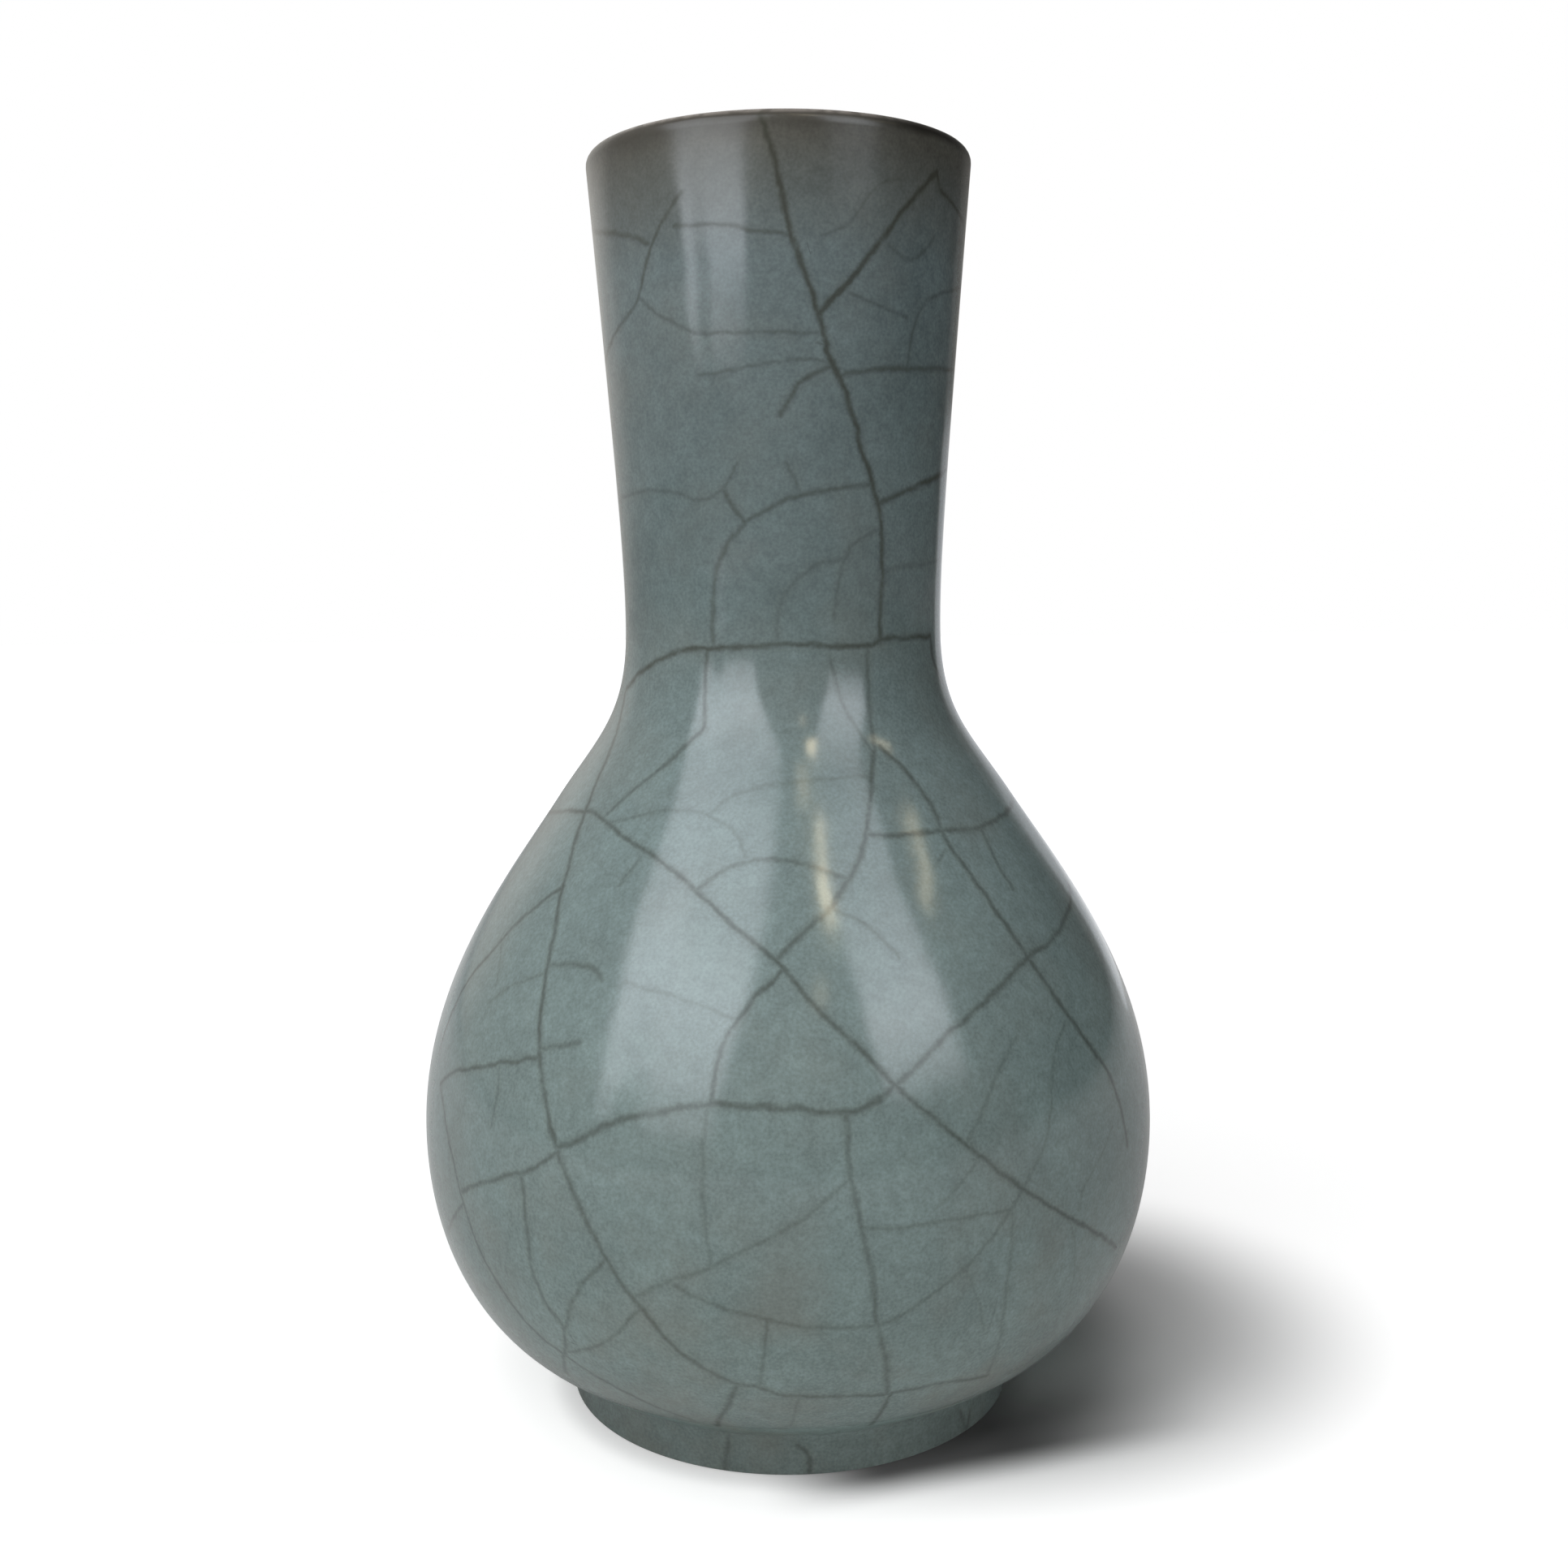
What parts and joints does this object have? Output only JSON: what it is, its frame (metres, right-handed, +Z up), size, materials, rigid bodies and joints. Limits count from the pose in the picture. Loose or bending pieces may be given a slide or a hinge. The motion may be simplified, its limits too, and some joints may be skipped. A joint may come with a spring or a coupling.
{
  "type": "bottle vase",
  "caption": "Crackle-glazed stoneware bottle vase with a round belly, a long slightly flared neck and a low foot ring; stands on a table and holds stems.",
  "frame": {"origin": "Centre of the foot ring's standing face, on the vase's axis and on the floor.", "axes": "+Z is up along the axis from the foot to the mouth; +X and +Y are any two level directions, because the vase is round. The picture looks along +Y, slightly down."},
  "size_m": [0.1494, 0.1494, 0.25],
  "materials": {
    "celadon_glaze": "glossy",
    "stoneware": "matte",
    "bare_foot": "matte",
    "luting_slip": "matte"
  },
  "bodies": {
    "root": {"foot_ring": "bare_foot", "foot_slip_seam": "luting_slip", "lower_belly": "stoneware", "belly_slip_seam": "luting_slip", "upper_belly": "stoneware", "neck_slip_seam": "luting_slip", "neck": "stoneware", "outer_glaze": "celadon_glaze", "inner_glaze": "celadon_glaze", "base_glaze": "celadon_glaze"}
  },
  "joints": []
}
